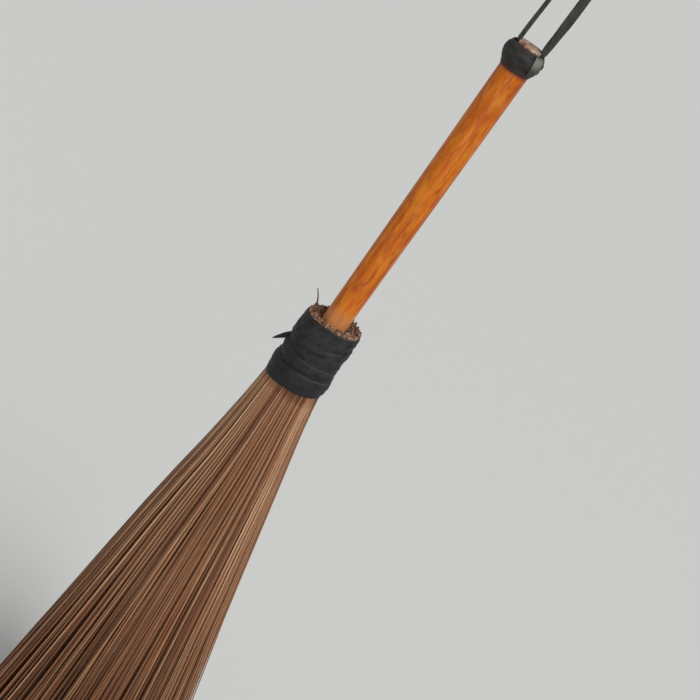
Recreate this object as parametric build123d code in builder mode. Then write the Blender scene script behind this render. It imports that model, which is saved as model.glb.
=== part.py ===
from build123d import *
from math import cos, degrees, floor, hypot, pi, radians, sin, sqrt
import os
import random

# Hand broom: a bundle of trimmed palm-leaf ribs, bound with a rubber strip round the sharpened end
# of a tapered stick, with a strap bound to the stick's other end as a loop for hanging.
# Millimetres. The rib tips stand on the floor at zero height, +Z runs up the handle,
# and the origin is the middle of the fan's tips on the floor.

# Heights that stack up from the floor
rib_reach = 430.0
rib_binding_height = 60.0
grip_length = 262.0
top_binding_height = 22.0
stick_proud = 2.0

# Stick
stick_top_radius = 13.2
stick_low_radius = 11.4
stick_point_radius = 3.2
stick_sunk_length = 26.0
stick_point_length = 44.0
stick_end_chamfer = 0.8
flat_overrun = 3.0

# Fan of ribs: its reach from the handle's axis to each side, and its half depth, at two heights
fan_left = 75.0
fan_right = 117.0
fan_half_depth = 64.0
middle_left = 46.5
middle_right = 62.5
middle_half_depth = 41.0
middle_rise = 240.0

# One rib, square cut at its butt and worn thin at its tip
rib_width = 1.7
rib_thickness = 1.9
rib_gap = 0.12
rib_tip_width = 1.15
rib_tip_thickness = 1.25
butt_least = 0.8
butt_spread = 4.0
tip_raggedness = 20.0

# Bundle of ribs inside the binding
ring_gap = 0.26
stick_clearance = 0.25
slice_gap = 0.15
slice_low_inset = 1.0
slice_high_inset = 3.0
bend_depth = 0.25
bundle_skin = 0.15

# Rubber strip round the ribs, with its loose tail
binding_thickness = 1.5
binding_clearance = 0.25
binding_turn_gap = 0.6
binding_bulge = 1.2
tail_reach = 9.5
tail_drop = 8.5
tail_root_width = 6.0
tail_root_thickness = 1.4
tail_tip_size = 0.8

# Rubber strip round the stick's top end, in two layers
wrap_thickness = 2.0
wrap_clearance = 0.25
wrap_turn_gap = 0.6
wrap_layer_gap = 0.8

# Strap: its ends lie in two flats of the stick, under the wrap
strap_width = 8.0
strap_thickness = 2.1
strap_seat = 0.1
strap_cover = 0.1
strap_tail_margin = 2.0
strap_turning_length = 6.0
hinge_gap = 0.9
loop_rise = 64.0
loop_shoulder = 11.6
loop_lean = 2.2

# Counts and angles
inner_sectors = 6
outer_sectors = 12
inner_rings = 3
outer_rings = 3
binding_half_turns = 11
tail_half_turn = 5
wrap_climbing_half_turns = 7
wrap_falling_half_turns = 2
leg_steps = 4
arch_steps = 10
gap_samples = 16
left_twist = 17.0
right_twist = 40.0
right_shoulder_twist = 76.0

# Shares
middle_core_share = 0.36
tip_core_share = 0.24
standing_share = 0.45
crowd_share = 0.42
tail_middle_share = 0.5
tail_thinning_share = 0.8
wrap_fall_share = 2.3

# Heights and radii that follow from the sizes above
binding_low = rib_reach
binding_high = binding_low + rib_binding_height
wrap_low = binding_high + grip_length
wrap_high = wrap_low + top_binding_height
stick_top = wrap_high + stick_proud
handle_x = (fan_left - fan_right) / 2

ring_total = inner_rings + outer_rings
ring_step = rib_thickness + ring_gap
bundle_bore = stick_low_radius + stick_clearance
first_ring = bundle_bore + bundle_skin + rib_thickness / 2
last_ring = first_ring + (ring_total - 1) * ring_step
bundle_radius = hypot(last_ring + rib_thickness / 2, rib_width / 2) + bundle_skin
split_radius = first_ring + (inner_rings - 1 / 2) * ring_step
slice_low = binding_low + slice_low_inset
slice_high = binding_high - slice_high_inset


def stick_radius(height):
    """Radius of the tapered stick at a height above the rib binding."""
    share = (height - binding_high) / (stick_top - binding_high)
    return stick_low_radius + (stick_top_radius - stick_low_radius) * share


# Stick: tapered, sharpened where it is driven into the bundle, with two flats for the strap
strap_corner_radius = stick_radius(wrap_low) - strap_cover
flat_distance = sqrt(strap_corner_radius**2 - (strap_width / 2) ** 2) - strap_thickness - strap_seat
flat_low = wrap_low + strap_tail_margin - strap_seat
sunk_end = binding_high - stick_sunk_length
point_end = sunk_end - stick_point_length

with BuildPart() as handle_stick:
    with BuildSketch(Plane.XZ):
        with BuildLine():
            Polyline(
                (handle_x, point_end),
                (handle_x + stick_point_radius, point_end),
                (handle_x + stick_low_radius, sunk_end),
                (handle_x + stick_low_radius, binding_high),
                (handle_x + stick_top_radius, stick_top),
                (handle_x, stick_top),
                close=True,
            )
        make_face()
    revolve(axis=Axis((handle_x, 0, 0), (0, 0, 1)))
    chamfer(handle_stick.edges().sort_by(Axis.Z)[-1], length=stick_end_chamfer)
    with BuildSketch(Plane.XY.offset(flat_low)):
        with Locations((handle_x, 0)):
            Circle(stick_top_radius + flat_overrun)
            Rectangle(2 * flat_distance, 3 * stick_top_radius, mode=Mode.SUBTRACT)
    extrude(amount=stick_top - flat_low + flat_overrun, mode=Mode.SUBTRACT)
handle_stick.part.label = "handle_stick"


# Ribs: levels of the bundle from its bend down to the floor, as height, sideways shift of the
# middle from the handle, half width, half depth and the share of them at which the inmost ring runs
levels = (
    (slice_low + bend_depth, 0, last_ring, last_ring, first_ring / last_ring),
    (middle_rise, (middle_right - middle_left) / 2, (middle_left + middle_right - rib_thickness) / 2,
     middle_half_depth - rib_thickness / 2, middle_core_share),
    (0, (fan_right - fan_left) / 2, (fan_left + fan_right - rib_tip_thickness) / 2,
     fan_half_depth - rib_tip_thickness / 2, tip_core_share),
)


def ring_reach(level, ring):
    """Half width and half depth of a ring of ribs on one level."""
    core_share = level[4]
    reach = core_share + (1 - core_share) * ring / (ring_total - 1)
    return reach * level[2], reach * level[3]


def level_point(level, ring, turn):
    """Middle of a rib where its ring and its angle about the handle put it on one level."""
    half_width, half_depth = ring_reach(level, ring)
    return Vector(handle_x + level[1] + half_width * cos(turn), half_depth * sin(turn), level[0])


def make_rib(ring, turn, pitch, draw):
    """One rib with four flat sides: straight through the binding, then out to its place in the fan."""
    butt_height = binding_high + butt_least + butt_spread * draw.random()
    tip_height = 0 if draw.random() < standing_share else tip_raggedness * draw.random()
    closest = ring_reach(levels[-1], ring)[1]
    spare_turn = max(pitch - hypot(rib_tip_width, rib_tip_thickness) / closest, 0)
    drift = crowd_share * spare_turn * draw.uniform(-1, 1) / 2
    outermost = ring == ring_total - 1
    stray = crowd_share * draw.uniform(-1, 0 if outermost else 1) / 2

    bound = level_point(levels[0], ring, turn)
    middle = level_point(levels[1], ring + stray / 2, turn + drift / 2)
    floor_point = level_point(levels[2], ring + stray, turn + drift)
    tip = floor_point + (middle - floor_point) * (tip_height / middle_rise)
    butt = Vector(bound.X, bound.Y, butt_height)

    middle_width = (rib_width + rib_tip_width) / 2
    middle_thickness = (rib_thickness + rib_tip_thickness) / 2
    outward = Vector(cos(turn), sin(turn), 0)
    across = Vector(-sin(turn), cos(turn), 0)
    rows = []
    for point, width, thickness in (
        (butt, rib_width, rib_thickness),
        (bound, rib_width, rib_thickness),
        (middle, middle_width, middle_thickness),
        (tip, rib_tip_width, rib_tip_thickness),
    ):
        out = outward * (thickness / 2)
        side = across * (width / 2)
        rows.append((point + out + side, point - out + side, point - out - side, point + out - side))

    faces = [Face(Wire.make_polygon(rows[0])), Face(Wire.make_polygon(rows[-1]))]
    for upper, lower in zip(rows, rows[1:]):
        for corner in range(len(upper)):
            corners = (upper[corner - 1], upper[corner], lower[corner], lower[corner - 1])
            faces.append(Face(Wire.make_polygon(corners)))
    return Solid(Shell(faces))


def make_rib_group(name, sector, sectors, rings, inner_radius, outer_radius, seed):
    """A sector of the bundle: its ribs, fused to a slice of the packed ribs inside the binding."""
    draw = random.Random(seed)
    sector_turn = 2 * pi / sectors
    ribs = []
    for ring in rings:
        room = sector_turn * (first_ring + ring * ring_step - rib_thickness / 2)
        count = floor(room / (rib_width + rib_gap))
        pitch = sector_turn / count
        for place in range(count):
            turn = sector * sector_turn + (place + 1 / 2) * pitch
            ribs.append(make_rib(ring, turn, pitch, draw))
    edge = degrees(slice_gap / outer_radius) / 2
    start = degrees(sector * sector_turn) + edge
    size = degrees(sector_turn) - 2 * edge
    with BuildPart() as group:
        with BuildSketch(Plane((handle_x, 0, slice_low))):
            with BuildLine():
                outside = CenterArc((0, 0), outer_radius, start, size)
                inside = CenterArc((0, 0), inner_radius, start, size)
                Line(outside @ 0, inside @ 0)
                Line(outside @ 1, inside @ 1)
            make_face()
        extrude(amount=slice_high - slice_low)
        add(ribs, clean=False)
    group.part.label = name
    return group.part, len(ribs)


rib_groups = []
rib_count = 0
for sector in range(inner_sectors):
    group, count = make_rib_group(
        f"ribs_inner_{sector + 1:02d}", sector, inner_sectors, range(inner_rings),
        bundle_bore, split_radius - slice_gap / 2, sector)
    rib_groups.append(group)
    rib_count += count
for sector in range(outer_sectors):
    group, count = make_rib_group(
        f"ribs_outer_{sector + 1:02d}", sector, outer_sectors, range(inner_rings, ring_total),
        split_radius + slice_gap / 2, bundle_radius, inner_sectors + sector)
    rib_groups.append(group)
    rib_count += count
print("ribs in all:", rib_count)


def winding_points(radii, heights):
    """Ends of the half turns of a winding, on alternate sides of the handle, from the right side."""
    return [
        Vector(handle_x + (radius if step % 2 == 0 else -radius), 0, height)
        for step, (radius, height) in enumerate(zip(radii, heights))
    ]


def half_turn_reach(start, end):
    """From the middle of a half turn's ends to its front or back point: front from the right side."""
    half_length = (end - start).length / 2
    return Vector(0, half_length if start.X < end.X else -half_length, 0)


def strip_gap(points, width, thickness):
    """Least gap of a wound strip to itself, measured on points of its middle line."""
    trace = []
    for start, end in zip(points, points[1:]):
        middle = (start + end) / 2
        for sample in range(gap_samples):
            turn = pi * sample / gap_samples
            place = middle + (start - middle) * cos(turn) + half_turn_reach(start, end) * sin(turn)
            trace.append((hypot(place.X - handle_x, place.Y), place.Z))
    turn_samples = 2 * gap_samples
    gaps = []
    for first in range(len(trace)):
        for later in range(first + turn_samples, len(trace), turn_samples):
            radial = abs(trace[later][0] - trace[first][0]) - thickness
            axial = abs(trace[later][1] - trace[first][1]) - width
            gaps.append(max(radial, axial))
    return min(gaps)


def wind_strip(points, width, thickness):
    """Sweeps a flat strip round the half turns, kept upright by the handle's axis."""
    axis_line = Edge.make_line((handle_x, 0, points[0].Z), (handle_x, 0, points[-1].Z))
    with BuildPart() as strip:
        with BuildLine() as path:
            for start, end in zip(points, points[1:]):
                ThreePointArc(start, (start + end) / 2 + half_turn_reach(start, end), end)
        with BuildSketch(Plane(points[0], x_dir=(1, 0, 0), z_dir=(0, -1, 0))):
            Rectangle(thickness, width)
        sweep(path=path.wire(), binormal=axis_line)
    return strip.part


# Rubber strip round the ribs: one unbroken band, cut level at both rims, with a loose pointed tail
binding_rise = rib_binding_height / (binding_half_turns - 2)
binding_width = 2 * binding_rise - binding_turn_gap
binding_middle_radius = bundle_radius + binding_clearance + binding_thickness / 2
binding_points = winding_points(
    [binding_middle_radius + binding_bulge * sin(pi * step / binding_half_turns) ** 2
     for step in range(binding_half_turns + 1)],
    [binding_low + binding_rise * (step - 1) for step in range(binding_half_turns + 1)])
print("rib binding's least gap to itself:", strip_gap(binding_points, binding_width, binding_thickness))

tail_root = binding_points[tail_half_turn]
tail_tip = tail_root + Vector(-tail_reach - binding_thickness / 2, 0, -tail_drop)
tail_direction = tail_tip - tail_root
with BuildPart() as tail:
    for share, width, thickness in (
        (0, tail_root_width, tail_root_thickness),
        (tail_middle_share, tail_root_width * tail_thinning_share, tail_root_thickness * tail_thinning_share),
        (1, tail_tip_size, tail_tip_size),
    ):
        with BuildSketch(Plane(tail_root + tail_direction * share, x_dir=(0, 1, 0), z_dir=tail_direction)):
            Rectangle(thickness, width)
    loft(ruled=True)

with BuildPart() as rib_binding:
    add(wind_strip(binding_points, binding_width, binding_thickness))
    split(bisect_by=Plane.XY.offset(binding_low), keep=Keep.TOP)
    split(bisect_by=Plane.XY.offset(binding_high), keep=Keep.BOTTOM)
    add(tail.part)
rib_binding.part.label = "rib_binding"


# Rubber strip round the stick's top: it climbs in one layer, moves out in its last climbing half
# turn and comes back down over itself in steeper turns
wrap_rise = top_binding_height / (wrap_climbing_half_turns - 1)
wrap_width = 2 * wrap_rise - wrap_turn_gap
wrap_inner_radius = stick_top_radius + wrap_clearance + wrap_thickness / 2
wrap_outer_radius = wrap_inner_radius + wrap_thickness + wrap_layer_gap
wrap_points = winding_points(
    [wrap_inner_radius] * wrap_climbing_half_turns + [wrap_outer_radius] * (wrap_falling_half_turns + 1),
    [wrap_low + wrap_rise * (step - 1) for step in range(wrap_climbing_half_turns + 1)]
    + [wrap_high - wrap_fall_share * wrap_rise * (step + 1) for step in range(wrap_falling_half_turns)])
print("top binding's least gap to itself:", strip_gap(wrap_points, wrap_width, wrap_thickness))

with BuildPart() as top_binding:
    add(wind_strip(wrap_points[: wrap_climbing_half_turns + 1], wrap_width, wrap_thickness))
    add(wind_strip(wrap_points[wrap_climbing_half_turns:], wrap_width, wrap_thickness))
    split(bisect_by=Plane.XY.offset(wrap_low), keep=Keep.TOP)
    split(bisect_by=Plane.XY.offset(wrap_high), keep=Keep.BOTTOM)
top_binding.part.label = "top_binding"


# Strap: two ends clamped under the wrap, and the loop that swings above them
strap_distance = flat_distance + strap_seat + strap_thickness / 2
hinge_round = hypot(strap_width, strap_thickness) / 2
strap_end_height = stick_top + strap_seat + strap_turning_length
hinge_height = strap_end_height + hinge_gap + hinge_round


def strap_plane(point, direction, outward, twist):
    """Plane square to the strap, turned by the strap's twist from edge-on to face-on."""
    across = Vector(0, cos(radians(twist)), 0) + outward * sin(radians(twist))
    return Plane(point, x_dir=across, z_dir=direction)


def upright_plane(side, height, twist):
    """Plane square to an upright stretch of the strap at one side of the stick."""
    return strap_plane(Vector(handle_x + side * strap_distance, 0, height), Vector(0, 0, 1),
                       Vector(side, 0, 0), twist)


side_twists = ((-1, left_twist), (1, right_twist))

with BuildPart() as strap_ends:
    for side, twist in side_twists:
        with BuildSketch(upright_plane(side, wrap_low + strap_tail_margin, 0)):
            Rectangle(strap_width, strap_thickness)
        extrude(amount=stick_top + strap_seat - wrap_low - strap_tail_margin)
        with BuildSketch(upright_plane(side, stick_top + strap_seat, 0)):
            Rectangle(strap_width, strap_thickness)
        with BuildSketch(upright_plane(side, strap_end_height, twist)):
            Rectangle(strap_width, strap_thickness)
        loft(ruled=True)
strap_ends.part.label = "strap_ends"

# The loop's middle line: a straight leg up the right side, a half circle, and a leg down the left
shoulder_height = hinge_height + loop_rise
loop_places = []
for step in range(leg_steps):
    share = step / leg_steps
    reach = strap_distance + (loop_lean + loop_shoulder - strap_distance) * share
    twist = right_twist + (right_shoulder_twist - right_twist) * sin(pi / 2 * share)
    loop_places.append((reach, hinge_height + loop_rise * share, 0, twist))
for step in range(arch_steps + 1):
    share = step / arch_steps
    reach = loop_lean + loop_shoulder * cos(pi * share)
    height = shoulder_height + loop_shoulder * sin(pi * share)
    twist = right_shoulder_twist + (left_twist - right_shoulder_twist) * share
    loop_places.append((reach, height, 180 * share, twist))
for step in range(leg_steps - 1, -1, -1):
    share = step / leg_steps
    reach = -strap_distance + (loop_lean - loop_shoulder + strap_distance) * share
    loop_places.append((reach, hinge_height + loop_rise * share, 180, left_twist))


def make_tongue(side, twist):
    """Rounded lower end of one leg of the loop, which turns about the hinge."""
    with BuildPart() as tongue:
        with BuildSketch(upright_plane(side, hinge_height, twist)):
            Rectangle(strap_width, strap_thickness)
        extrude(amount=-hinge_round)
        with Locations((handle_x + side * strap_distance, 0, hinge_height)):
            Cylinder(hinge_round, 2 * strap_width, rotation=(0, 90, 0), mode=Mode.INTERSECT)
    return tongue.part


tongues = [make_tongue(side, twist) for side, twist in side_twists]

with BuildPart() as hanging_loop:
    for reach, height, turn, twist in loop_places:
        outward = Vector(cos(radians(turn)), 0, sin(radians(turn)))
        direction = Vector(-outward.Z, 0, outward.X)
        with BuildSketch(strap_plane(Vector(handle_x + reach, 0, height), direction, outward, twist)):
            Rectangle(strap_width, strap_thickness)
    loft(ruled=True)
    add(tongues)
hanging_loop.part.label = "hanging_loop"

print("loop's hinge height:", hinge_height, "top:", hanging_loop.part.bounding_box().max.Z)

os.makedirs("parts", exist_ok=True)
pieces = [handle_stick.part, rib_binding.part, top_binding.part, strap_ends.part, hanging_loop.part]
for piece in pieces + rib_groups:
    export_step(piece, f"parts/{piece.label}.step")
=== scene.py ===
import math
import random

import bpy
from mathutils import Matrix, Vector, noise


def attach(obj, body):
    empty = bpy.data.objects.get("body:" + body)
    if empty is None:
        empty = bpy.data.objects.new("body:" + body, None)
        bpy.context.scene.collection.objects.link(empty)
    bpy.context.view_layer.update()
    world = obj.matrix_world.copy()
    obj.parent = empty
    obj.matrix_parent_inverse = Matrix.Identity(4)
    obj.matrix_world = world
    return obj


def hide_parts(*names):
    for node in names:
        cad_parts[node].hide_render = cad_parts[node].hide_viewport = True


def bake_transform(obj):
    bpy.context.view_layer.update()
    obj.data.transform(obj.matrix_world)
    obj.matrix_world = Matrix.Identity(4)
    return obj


# Hand broom of palm ribs, seen from the front and a little above. Metres.

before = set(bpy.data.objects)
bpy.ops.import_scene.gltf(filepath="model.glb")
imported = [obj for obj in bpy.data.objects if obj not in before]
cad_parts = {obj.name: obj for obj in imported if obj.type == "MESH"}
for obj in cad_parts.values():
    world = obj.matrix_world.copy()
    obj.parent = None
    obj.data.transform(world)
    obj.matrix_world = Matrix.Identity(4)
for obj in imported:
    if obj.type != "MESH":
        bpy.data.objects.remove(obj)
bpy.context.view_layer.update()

# Place of the handle's axis, and heights of the rib binding, the top binding and the stick's end
HANDLE_X = -0.0210
BINDING_LOW = 0.430
BINDING_HIGH = 0.490
WRAP_LOW = 0.752
WRAP_HIGH = 0.774
STICK_TOP = 0.776

# Angles about the handle: 0 is on the right, and the front is at -90 degrees
FULL_TURN = 2 * math.pi
QUARTER_TURN = math.pi / 2
BACK = math.pi / 2


# Small helpers

def mix(a, b, share):
    return a + (b - a) * share


def smooth(low, high, value):
    """Soft step from 0 at one value to 1 at another."""
    share = min(max((value - low) / (high - low), 0.0), 1.0)
    return share * share * (3.0 - 2.0 * share)


def clamp(value):
    return min(max(value, 0.0), 1.0)


def wave(seed, value):
    """Smooth noise between -1 and 1 along a line; each seed has a line of its own."""
    return 2.0 * noise.noise(Vector((value, seed * 7.31, seed * 3.17)))


def through(values, place):
    """Smooth curve through evenly spaced values, at a place counted in their steps."""
    first = min(max(int(place), 0), len(values) - 2)
    share = place - first
    before = values[max(first - 1, 0)]
    start, end = values[first], values[first + 1]
    after = values[min(first + 2, len(values) - 1)]
    slope = (end - before) / 2
    rise = (after - start) / 2
    return (start + slope * share + (3 * (end - start) - 2 * slope - rise) * share**2
            + (slope + rise - 2 * (end - start)) * share**3)


def round_handle(radius, turn, height):
    """Point at a radius from the handle's axis and an angle about it."""
    return Vector((HANDLE_X + radius * math.cos(turn), radius * math.sin(turn), height))


def new_mesh(name, vertices, faces, material, sharp_angle):
    """Mesh piece whose faces shade smoothly where they meet at less than an angle in degrees."""
    mesh = bpy.data.meshes.new(name)
    mesh.from_pydata(vertices, [], faces)
    mesh.update()
    mesh.polygons.foreach_set("use_smooth", [True] * len(mesh.polygons))
    mesh.set_sharp_from_angle(angle=math.radians(sharp_angle))
    piece = bpy.data.objects.new(name, mesh)
    bpy.context.scene.collection.objects.link(piece)
    mesh.materials.append(material)
    return piece


def add_attribute(piece, name, values):
    attribute = piece.data.attributes.new(name, "FLOAT", "POINT")
    attribute.data.foreach_set("value", values)


def join_rows(faces, start, rows, ring):
    """Closed skin over rows of as many points each."""
    for row in range(rows - 1):
        for k in range(ring):
            a = start + row * ring + k
            b = start + row * ring + (k + 1) % ring
            faces.append((a, b, b + ring, a + ring))
    last = start + (rows - 1) * ring
    faces.append(tuple(range(start, start + ring))[::-1])
    faces.append(tuple(range(last, last + ring)))


# Nodes that the materials share

def new_material(name):
    material = bpy.data.materials.new(name)
    material.use_nodes = True
    nodes = material.node_tree.nodes
    return material, nodes, material.node_tree.links, nodes["Principled BSDF"]


def noise_value(nodes, links, scale, detail):
    """Noise over the piece's own coordinates, in metres, with its scale along each axis."""
    source = nodes.new("ShaderNodeTexCoord")
    mapping = nodes.new("ShaderNodeMapping")
    mapping.inputs["Scale"].default_value = scale
    links.new(source.outputs["Object"], mapping.inputs["Vector"])
    texture = nodes.new("ShaderNodeTexNoise")
    texture.inputs["Scale"].default_value = 1.0
    texture.inputs["Detail"].default_value = detail
    texture.inputs["Roughness"].default_value = 0.55
    links.new(mapping.outputs["Vector"], texture.inputs["Vector"])
    return texture.outputs["Fac"]


def ramp(nodes, links, source, stops):
    """Colours or greys along a value."""
    node = nodes.new("ShaderNodeValToRGB")
    elements = node.color_ramp.elements
    elements[0].position, elements[0].color = stops[0][0], (*stops[0][1], 1.0)
    elements[1].position, elements[1].color = stops[-1][0], (*stops[-1][1], 1.0)
    for position, colour in stops[1:-1]:
        elements.new(position).color = (*colour, 1.0)
    links.new(source, node.inputs["Fac"])
    return node.outputs["Color"]


def grey(value):
    return (value, value, value)


def fade(nodes, links, source, low, high, most):
    """Share that rises from none, where the value is low, to its most, where it is high."""
    return ramp(nodes, links, source, ((low, grey(0.0)), (high, grey(most))))


def mixed(nodes, links, share, first, second, blend="MIX"):
    """Mixes two colours, each given as a colour or as a socket."""
    node = nodes.new("ShaderNodeMix")
    node.data_type = "RGBA"
    node.blend_type = blend
    slots = [socket for socket in node.inputs if socket.enabled]
    for socket, value in zip(slots, (share, first, second)):
        if isinstance(value, bpy.types.NodeSocket):
            links.new(value, socket)
        elif isinstance(value, tuple):
            socket.default_value = (*value, 1.0)
        else:
            socket.default_value = value
    return [socket for socket in node.outputs if socket.enabled][0]


def attribute_value(nodes, name):
    node = nodes.new("ShaderNodeAttribute")
    node.attribute_name = name
    return node.outputs["Fac"]


def height_band(nodes, links, none_at, all_at):
    """Share from none at one height to all at another."""
    source = nodes.new("ShaderNodeTexCoord")
    split = nodes.new("ShaderNodeSeparateXYZ")
    links.new(source.outputs["Object"], split.inputs["Vector"])
    band = nodes.new("ShaderNodeMapRange")
    band.inputs["From Min"].default_value = none_at
    band.inputs["From Max"].default_value = all_at
    links.new(split.outputs["Z"], band.inputs["Value"])
    return band.outputs["Result"]


def add_roughness(nodes, links, shader, source, low, high):
    rough = nodes.new("ShaderNodeMapRange")
    rough.inputs["To Min"].default_value = low
    rough.inputs["To Max"].default_value = high
    links.new(source, rough.inputs["Value"])
    links.new(rough.outputs["Result"], shader.inputs["Roughness"])


def add_bump(nodes, links, shader, height, strength, distance):
    bump = nodes.new("ShaderNodeBump")
    bump.inputs["Strength"].default_value = strength
    bump.inputs["Distance"].default_value = distance
    links.new(height, bump.inputs["Height"])
    links.new(bump.outputs["Normal"], shader.inputs["Normal"])


# Palm rib: its tone picks a colour between dark brown and bleached straw; the tone also carries painted
# shade

RIB_TONES = (
    (0.0, (0.080, 0.029, 0.011)),
    (0.25, (0.175, 0.070, 0.028)),
    (0.50, (0.278, 0.127, 0.058)),
    (0.75, (0.376, 0.198, 0.102)),
    (1.0, (0.525, 0.325, 0.195)),
)
RIB_RED = (0.250, 0.075, 0.030)
RIB_CUT_END = (0.540, 0.400, 0.300)
RIB_GRAIN_SHADES = ((0.25, grey(0.72)), (0.5, grey(1.0)), (0.8, grey(1.20)))


def make_rib_material():
    material, nodes, links, shader = new_material("palm_rib")
    base = ramp(nodes, links, attribute_value(nodes, "tone"), RIB_TONES)
    grain = noise_value(nodes, links, scale=(1400.0, 1400.0, 26.0), detail=5.0)
    grained = mixed(nodes, links, 1.0, base, ramp(nodes, links, grain, RIB_GRAIN_SHADES), "MULTIPLY")
    patch = noise_value(nodes, links, scale=(60.0, 60.0, 9.0), detail=3.0)
    reddened = mixed(nodes, links, fade(nodes, links, patch, low=0.50, high=0.75, most=0.45),
                     grained, RIB_RED)
    ended = mixed(nodes, links, attribute_value(nodes, "cut"), reddened, RIB_CUT_END)
    links.new(ended, shader.inputs["Base Color"])
    shader.inputs["Roughness"].default_value = 0.50
    shader.inputs["Specular IOR Level"].default_value = 0.35
    add_bump(nodes, links, shader, grain, strength=0.35, distance=0.0002)
    return material


# Varnished stick: streaked lengthways, blotched where the varnish ran thick or thin, bare at its sawn end

STICK_STREAKS = (
    (0.30, (0.360, 0.062, 0.002)),
    (0.50, (0.500, 0.116, 0.002)),
    (0.70, (0.600, 0.182, 0.006)),
)
STICK_GRAIN_SHADES = ((0.30, grey(0.82)), (0.50, grey(1.0)), (0.72, grey(1.10)))
STICK_THICK = (0.270, 0.036, 0.008)
STICK_THIN = (0.640, 0.240, 0.036)
STICK_WORN = (0.600, 0.285, 0.125)
# Stain ring with painted contact shadow just under the top binding
STICK_STAIN_AND_SHADOW = (0.190, 0.030, 0.010)
STICK_END_STAINS = (
    (0.38, (0.150, 0.052, 0.024)),
    (0.50, (0.340, 0.215, 0.140)),
    (0.64, (0.470, 0.350, 0.260)),
)
# Heights between which the stick is worn, stained and painted in shadow, and bare
WORN_TOP = BINDING_HIGH + 0.020
WORN_FOOT = BINDING_HIGH + 0.001
STAIN_AND_SHADOW_FOOT = WRAP_LOW - 0.0035
BARE_FOOT = STICK_TOP - 0.0026
BARE_FULL = STICK_TOP - 0.0020


def make_stick_material():
    material, nodes, links, shader = new_material("stick_varnished")
    streak = noise_value(nodes, links, scale=(230.0, 230.0, 20.0), detail=5.0)
    base = ramp(nodes, links, streak, STICK_STREAKS)
    grain = noise_value(nodes, links, scale=(520.0, 520.0, 9.0), detail=6.0)
    grained = mixed(nodes, links, 1.0, base, ramp(nodes, links, grain, STICK_GRAIN_SHADES), "MULTIPLY")
    blotch = noise_value(nodes, links, scale=(190.0, 190.0, 72.0), detail=4.0)
    blotched = mixed(nodes, links, fade(nodes, links, blotch, low=0.50, high=0.68, most=0.62),
                     grained, STICK_THICK)
    pale = noise_value(nodes, links, scale=(260.0, 260.0, 46.0), detail=4.0)
    varnished = mixed(nodes, links, fade(nodes, links, pale, low=0.53, high=0.70, most=0.55),
                      blotched, STICK_THIN)
    # Worn paler just above the ribs, and stained and painted in contact shadow under the top binding's
    # lower rim
    worn_band = height_band(nodes, links, WORN_TOP, WORN_FOOT)
    worn_and_lit = mixed(nodes, links, fade(nodes, links, worn_band, low=0.0, high=1.0, most=0.80),
                 varnished, STICK_WORN)
    # Stain ring and painted contact shadow just under the top binding
    stained_and_shaded = mixed(nodes, links, height_band(nodes, links, STAIN_AND_SHADOW_FOOT, WRAP_LOW), worn_and_lit, STICK_STAIN_AND_SHADOW)
    bare_share = height_band(nodes, links, BARE_FOOT, BARE_FULL)
    stain = noise_value(nodes, links, scale=(210.0, 210.0, 260.0), detail=4.0)
    bare = ramp(nodes, links, stain, STICK_END_STAINS)
    links.new(mixed(nodes, links, bare_share, stained_and_shaded, bare), shader.inputs["Base Color"])
    add_roughness(nodes, links, shader, bare_share, low=0.42, high=0.85)
    shader.inputs["Specular IOR Level"].default_value = 0.20
    shader.inputs["Coat Weight"].default_value = 0.07
    shader.inputs["Coat Roughness"].default_value = 0.28
    add_bump(nodes, links, shader, grain, strength=0.30, distance=0.0003)
    return material


# Rubber: dull, clouded and stained, and paler at its edges: rubbed, and on the wound strips also painted
# highlight

def make_rubber_material(name, dark, light, stain_colour, edge_colour, foot, foot_colour, foot_share):
    """Rubber tinted toward its foot, from none at its first height to a share at its second; on the rib
    binding the tint is painted shade.
    """
    material, nodes, links, shader = new_material(name)
    cloud = noise_value(nodes, links, scale=(110.0, 110.0, 150.0), detail=5.0)
    base = ramp(nodes, links, cloud, ((0.32, dark), (0.68, light)))
    stain = noise_value(nodes, links, scale=(160.0, 160.0, 330.0), detail=3.0)
    stained_and_shaded = mixed(nodes, links, fade(nodes, links, stain, low=0.52, high=0.70, most=0.75),
                    base, stain_colour)
    foot_band = height_band(nodes, links, *foot)
    # Foot colour: painted shade on the rib binding, a brown tint on the top binding and the strap
    foot_stain_and_shade = mixed(nodes, links, fade(nodes, links, foot_band, low=0.0, high=1.0, most=foot_share),
                   stained_and_shaded, foot_colour)
    # Paler edges: rubbed, with painted highlight on the wound strips' edges and on the strap's fold
    worn_and_lit = mixed(nodes, links, attribute_value(nodes, "edge"), foot_stain_and_shade, edge_colour)
    links.new(worn_and_lit, shader.inputs["Base Color"])
    add_roughness(nodes, links, shader, cloud, low=0.52, high=0.75)
    shader.inputs["Specular IOR Level"].default_value = 0.28
    fine = noise_value(nodes, links, scale=(1300.0, 1300.0, 1300.0), detail=3.0)
    add_bump(nodes, links, shader, fine, strength=0.30, distance=0.0002)
    return material


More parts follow.
